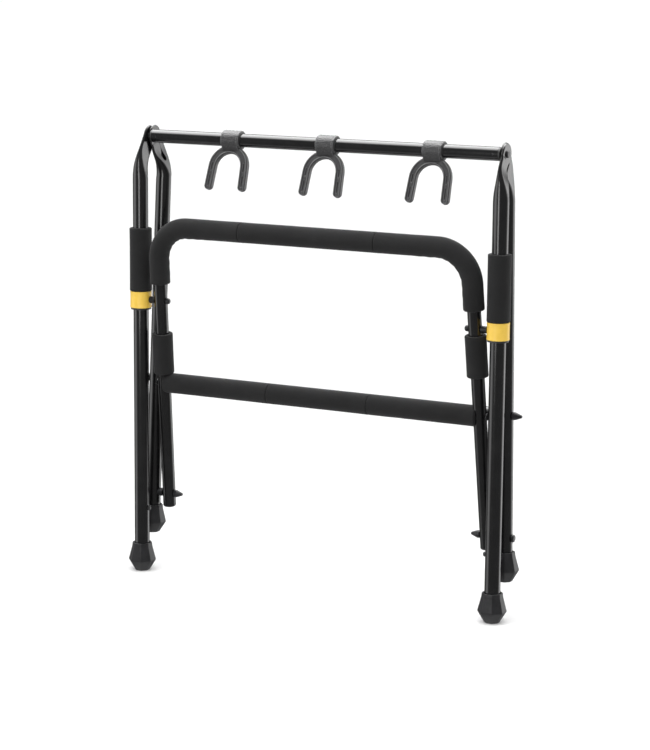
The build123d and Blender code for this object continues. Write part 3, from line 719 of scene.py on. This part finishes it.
def make_yokes():
    """Three yokes on the bar."""
    model = make_yoke_mesh()
    for number in (1, 2, 3):
        node = f"yoke_cover_{number}"
        low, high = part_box(node)
        mesh = model.copy()
        place = Matrix.Translation(((low.x + high.x) / 2, BAR.y, BAR.z))
        mesh.transform(place @ Matrix.Rotation(-YOKE_TILT, 4, "X"))
        mesh.materials.clear()
        mesh.materials.append(MATERIALS["yoke_rubber"])
        yoke = bpy.data.objects.new(f"yoke_{number}_rubber", mesh)
        bpy.context.scene.collection.objects.link(yoke)
        stand_for(yoke, node)


# ---- feet ----
FOOT_RINGS = ((0.0, 10.6), (16.0, 19.0), (36.0, 14.2), (42.0, 13.6))   # height, half width
FOOT_EDGE = 0.6 * MM
FOOT_CORNER = 0.9 * MM
FOOT_WIDEST = 16.0 * MM
FOOT_TOP = FOOT_RINGS[-1][0] * MM
SOLE_STEPS = ((3.0, 0.0), (4.6, 0.0), (5.0, 0.9), (6.4, 0.9), (6.8, 0.0))   # half width, depth
LEG_GAP = 0.7 * MM            # between the boot's mouth and the leg
MOUTH_DEPTH = 3.0 * MM
BEND_STEPS = 4                # a softened corner or edge has this many short pieces


def foot_outline(half_width, corner):
    """Eight-sided ring with softened corners, as (x, y) pairs."""
    sides = 8
    corner_r = half_width / math.cos(math.pi / sides)
    angles = [2 * math.pi * (k + 0.5) / sides for k in range(-1, sides + 1)]
    corners = [Vector((math.cos(angle), math.sin(angle))) * corner_r for angle in angles]
    points = []
    for before, here, after in zip(corners, corners[1:], corners[2:]):
        start = here + (before - here).normalized() * corner
        end = here + (after - here).normalized() * corner
        for i in range(BEND_STEPS + 1):
            t = i / BEND_STEPS
            points.append(start * (1 - t) ** 2 + here * (2 * t * (1 - t)) + end * t ** 2)
        next_start = after + (here - after).normalized() * corner
        points += [end.lerp(next_start, 1 / 3), end.lerp(next_start, 2 / 3)]
    return points


def foot_profile():
    """Heights and half widths of the boot, with a softened edge at each break."""
    rings = [Vector(ring) * MM for ring in FOOT_RINGS]
    reach = FOOT_EDGE * 1.6
    sole_h, sole_w = rings[0]
    profile = [(sole_h, sole_w - FOOT_EDGE), (sole_h + 0.3 * MM, sole_w - 0.25 * MM)]
    for before, here, after in zip(rings, rings[1:], rings[2:]):
        start = here + (before - here).normalized() * reach
        end = here + (after - here).normalized() * reach
        for i in range(BEND_STEPS + 1):
            t = i / BEND_STEPS
            spot = start * (1 - t) ** 2 + here * (2 * t * (1 - t)) + end * t ** 2
            profile.append((spot.x, spot.y))
    top_h, top_w = rings[-1]
    profile += [(top_h - 0.5 * MM, top_w), (top_h - 0.12 * MM, top_w - 0.2 * MM)]
    profile.append((top_h, top_w - 0.6 * MM))
    return profile


def make_foot(side, end):
    """Rubber boot on one leg."""
    node = f"{end}_foot_{side}"
    sign = 1 if side == "right" else -1
    low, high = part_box(node)
    rear_rise = Vector((-REAR_LEG_SPLAY * sign, REAR_LEG_LEAN, 1))
    way = (FRONT_LEG_RISE if end == "front" else rear_rise).normalized()
    centre = Vector(((low.x + high.x) / 2, (low.y + high.y) / 2, low.z + FOOT_WIDEST))
    sole = centre - way * FOOT_WIDEST
    across = (Vector((1, 0, 0)) - way * way.x).normalized()
    front = way.cross(across)
    verts, rows = [], []

    def add_ring(height, outline):
        """One ring of the boot at a height along the leg."""
        rows.append([len(verts) + i for i in range(len(outline))])
        for px, py in outline:
            spot = sole + way * height + across * px + front * py
            ripple = 0.06 * MM * noise.noise(spot * 140.0)
            spot += (across * px + front * py).normalized() * ripple
            verts.append(Vector((spot.x, spot.y, max(spot.z, low.z))))

    for half, depth in SOLE_STEPS:
        add_ring(depth * MM, foot_outline(half * MM, FOOT_CORNER * half / 20))
    for height, half in foot_profile():
        add_ring(height, foot_outline(half, FOOT_CORNER))
    gap_r = LEG_TUBE_R + LEG_GAP
    circle = [point.normalized() for point in foot_outline(1.0, 0.08)]
    add_ring(FOOT_TOP - 0.05 * MM, [p * (gap_r + 0.5 * MM) for p in circle])
    add_ring(FOOT_TOP - MOUTH_DEPTH, [p * gap_r for p in circle])
    add_ring(FOOT_TOP - MOUTH_DEPTH - 2 * MM, [p * (LEG_TUBE_R + 0.02 * MM) for p in circle])
    boot = mesh_object(f"boot_{end}_{side}", verts, loft_faces(rows), "rubber")
    stand_for(boot, node)


# ---- collars ----
COLLAR_R = 15.7 * MM
COLLAR_H = 24.0 * MM
COLLAR_BORE = 12.42 * MM
COLLAR_ROLL = 0.8 * MM        # radius of the rolled rims
WAIST = 0.22 * MM
WAIST_STEPS = ((2.0, 0.0), (2.5, 0.6), (3.0, 1.0), (6.0, 1.0), (12.0, 1.0))   # height, share


def make_collar(side):
    """Yellow shell of a collar, with rolled rims and a shallow waist between them."""
    node = "collar_shell_" + side
    low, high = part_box(node)
    base = (low + high) / 2
    base.x = high.x - COLLAR_R if side == "right" else low.x + COLLAR_R
    way = FRONT_LEG_RISE.normalized()
    across = Vector((1, 0, 0))
    front = way.cross(across)
    half = COLLAR_H / 2
    profile = [(-half, COLLAR_BORE), (-half, COLLAR_R - 1.0 * MM)]
    for i in range(6):
        turn = math.pi / 2 * i / 5
        height = -half + COLLAR_ROLL * (1 - math.cos(turn))
        profile.append((height, COLLAR_R - COLLAR_ROLL * (1 - math.sin(turn))))
    for height, share in WAIST_STEPS:
        profile.append((-half + height * MM, COLLAR_R - WAIST * share))
    profile += [(-height, radius) for height, radius in reversed(profile[:-1])]
    around = 96
    verts, rows = [], []
    for height, radius in profile:
        rows.append([len(verts) + k for k in range(around)])
        for k in range(around):
            turn = 2 * math.pi * k / around
            ray = across * math.cos(turn) + front * math.sin(turn)
            verts.append(base + way * height + ray * radius)
    faces = loft_faces([*rows, rows[0]], caps=False)
    shell = mesh_object("collar_" + side, verts, faces, "yellow_plastic")
    stand_for(shell, node)


# ---- stage ----
STUDIO_TURN = 27.5            # degrees that the studio's panels are turned from the rack
SURROUNDINGS = 1.1            # strength of the white around the rack
DIM_STUDIO = 0.34             # strength of what gloss mirrors between the panels
FLOOR_REACH = 60.0            # metres
LIGHTS = (
    # name, place, width, height, watts, which kind of shading it reaches
    ("key_left", (-1.7, -1.9, 1.7), 1.0, 1.0, 14.0, "matt"),
    ("key_above", (0.1, -0.3, 1.4), 1.2, 0.4, 8.0, "matt"),
    ("card_front", (0.0, -1.5, 0.60), 0.45, 0.9, 7.5, "gloss"),
)
LIGHTS_AIM = Vector((0, 0, 0.45))
CAMERA_TURN = 27.485          # degrees to the right of the rack's front
CAMERA_DOWN = 11.065          # degrees that it looks down
CAMERA_ROLL = 0.181
CAMERA_DISTANCE = 3.28495
SENSOR = 36.0
FOCAL_SHARE = 3.1114          # focal length over sensor width


def maths(tree, operation, first, second):
    """Two-input Math node; second is a socket or a number."""
    node = tree.nodes.new("ShaderNodeMath")
    node.operation = operation
    link(tree, first, node.inputs[0])
    if isinstance(second, float):
        node.inputs[1].default_value = second
    else:
        link(tree, second, node.inputs[1])
    return node.outputs["Value"]


def studio_panels(tree):
    """Strength of the studio that gloss mirrors: dim, with soft panels beside, above and below."""
    direction = tree.nodes.new("ShaderNodeTexCoord").outputs["Generated"]

    def along(axis):
        """How far the direction points along a fixed axis."""
        dot = tree.nodes.new("ShaderNodeVectorMath")
        dot.operation = "DOT_PRODUCT"
        dot.inputs[1].default_value = axis
        link(tree, direction, dot.inputs[0])
        return dot.outputs["Value"]

    turn = math.radians(STUDIO_TURN)
    right = along((math.cos(turn), math.sin(turn), 0))
    behind = along((-math.sin(turn), math.cos(turn), 0))
    rise = along((0, 0, 1))
    side_right = remap(tree, right, 0.55, 0.80, 0.0, 3.4)
    side_right = maths(tree, "MULTIPLY", side_right, remap(tree, behind, -0.05, 0.35, 0.0, 1.0))
    side_left = remap(tree, right, -0.88, -0.98, 0.0, 2.8)
    level = remap(tree, maths(tree, "ABSOLUTE", rise, 0.0), 0.75, 0.45, 0.0, 1.0)
    sides = maths(tree, "MULTIPLY", maths(tree, "ADD", side_right, side_left), level)
    above = remap(tree, rise, 0.50, 0.76, 0.0, 13.0)
    above = maths(tree, "MULTIPLY", above, remap(tree, behind, -0.25, 0.05, 0.0, 1.0))
    below = remap(tree, rise, -0.6, -0.88, 0.0, 1.1)
    total = maths(tree, "ADD", sides, maths(tree, "ADD", above, below))
    return maths(tree, "ADD", total, DIM_STUDIO)


def studio_world():
    """White surroundings for the light, and a panelled studio for the reflections."""
    world = bpy.data.worlds.new("studio")
    world.use_nodes = True
    tree = world.node_tree
    soft = tree.nodes["Background"]
    soft.inputs["Color"].default_value = (1, 1, 1, 1)
    soft.inputs["Strength"].default_value = SURROUNDINGS
    mirrored = tree.nodes.new("ShaderNodeBackground")
    link(tree, studio_panels(tree), mirrored.inputs["Strength"])
    choose = tree.nodes.new("ShaderNodeMixShader")
    link(tree, tree.nodes.new("ShaderNodeLightPath").outputs["Is Glossy Ray"], choose.inputs["Fac"])
    link(tree, soft.outputs["Background"], choose.inputs[1])
    link(tree, mirrored.outputs["Background"], choose.inputs[2])
    link(tree, choose.outputs["Shader"], tree.nodes["World Output"].inputs["Surface"])
    return world


def make_stage():
    """Pale floor, white surroundings, soft studio lights."""
    signs = ((-1, -1), (1, -1), (1, 1), (-1, 1))
    mesh = bpy.data.meshes.new("floor")
    corners = [(x * FLOOR_REACH, y * FLOOR_REACH, 0) for x, y in signs]
    mesh.from_pydata(corners, [], [(0, 1, 2, 3)])
    mesh.materials.append(floor_material())
    floor = bpy.data.objects.new("floor", mesh)
    bpy.context.scene.collection.objects.link(floor)
    floor.visible_glossy = False
    bpy.context.scene.world = studio_world()
    for name, place, wide, tall, power, seen_by in LIGHTS:
        lamp = bpy.data.lights.new(name, "AREA")
        lamp.shape = "RECTANGLE"
        lamp.size = wide
        lamp.size_y = tall
        lamp.energy = power
        holder = bpy.data.objects.new(name, lamp)
        holder.location = place
        facing = LIGHTS_AIM - Vector(place)
        holder.rotation_euler = facing.to_track_quat("-Z", "Y").to_euler()
        holder.visible_camera = False
        holder.visible_diffuse = seen_by == "matt"
        holder.visible_glossy = seen_by == "gloss"
        bpy.context.scene.collection.objects.link(holder)
    bpy.context.scene.view_settings.view_transform = "Standard"


def make_camera():
    """Camera to the right of the rack, a little above it, looking down and to the left."""
    aim = Vector((18.83 * MM, BAR.y - 21 * MM, BAR.z - 321.64 * MM))
    data = bpy.data.cameras.new("camera")
    data.sensor_width = SENSOR
    data.lens = FOCAL_SHARE * SENSOR
    data.clip_end = 200.0
    camera = bpy.data.objects.new("camera", data)
    facing = (
        Matrix.Rotation(math.radians(CAMERA_TURN), 3, "Z")
        @ Matrix.Rotation(math.radians(90 - CAMERA_DOWN), 3, "X")
        @ Matrix.Rotation(math.radians(CAMERA_ROLL), 3, "Z")
    )
    place = aim + facing @ Vector((0, 0, CAMERA_DISTANCE))
    camera.matrix_world = Matrix.Translation(place) @ facing.to_4x4()
    bpy.context.scene.collection.objects.link(camera)
    bpy.context.scene.camera = camera


make_camera()
make_stage()
dress_cad()
make_foam()
make_yokes()
for leg_side in ("left", "right"):
    make_foot(leg_side, "front")
    make_foot(leg_side, "rear")
    make_collar(leg_side)
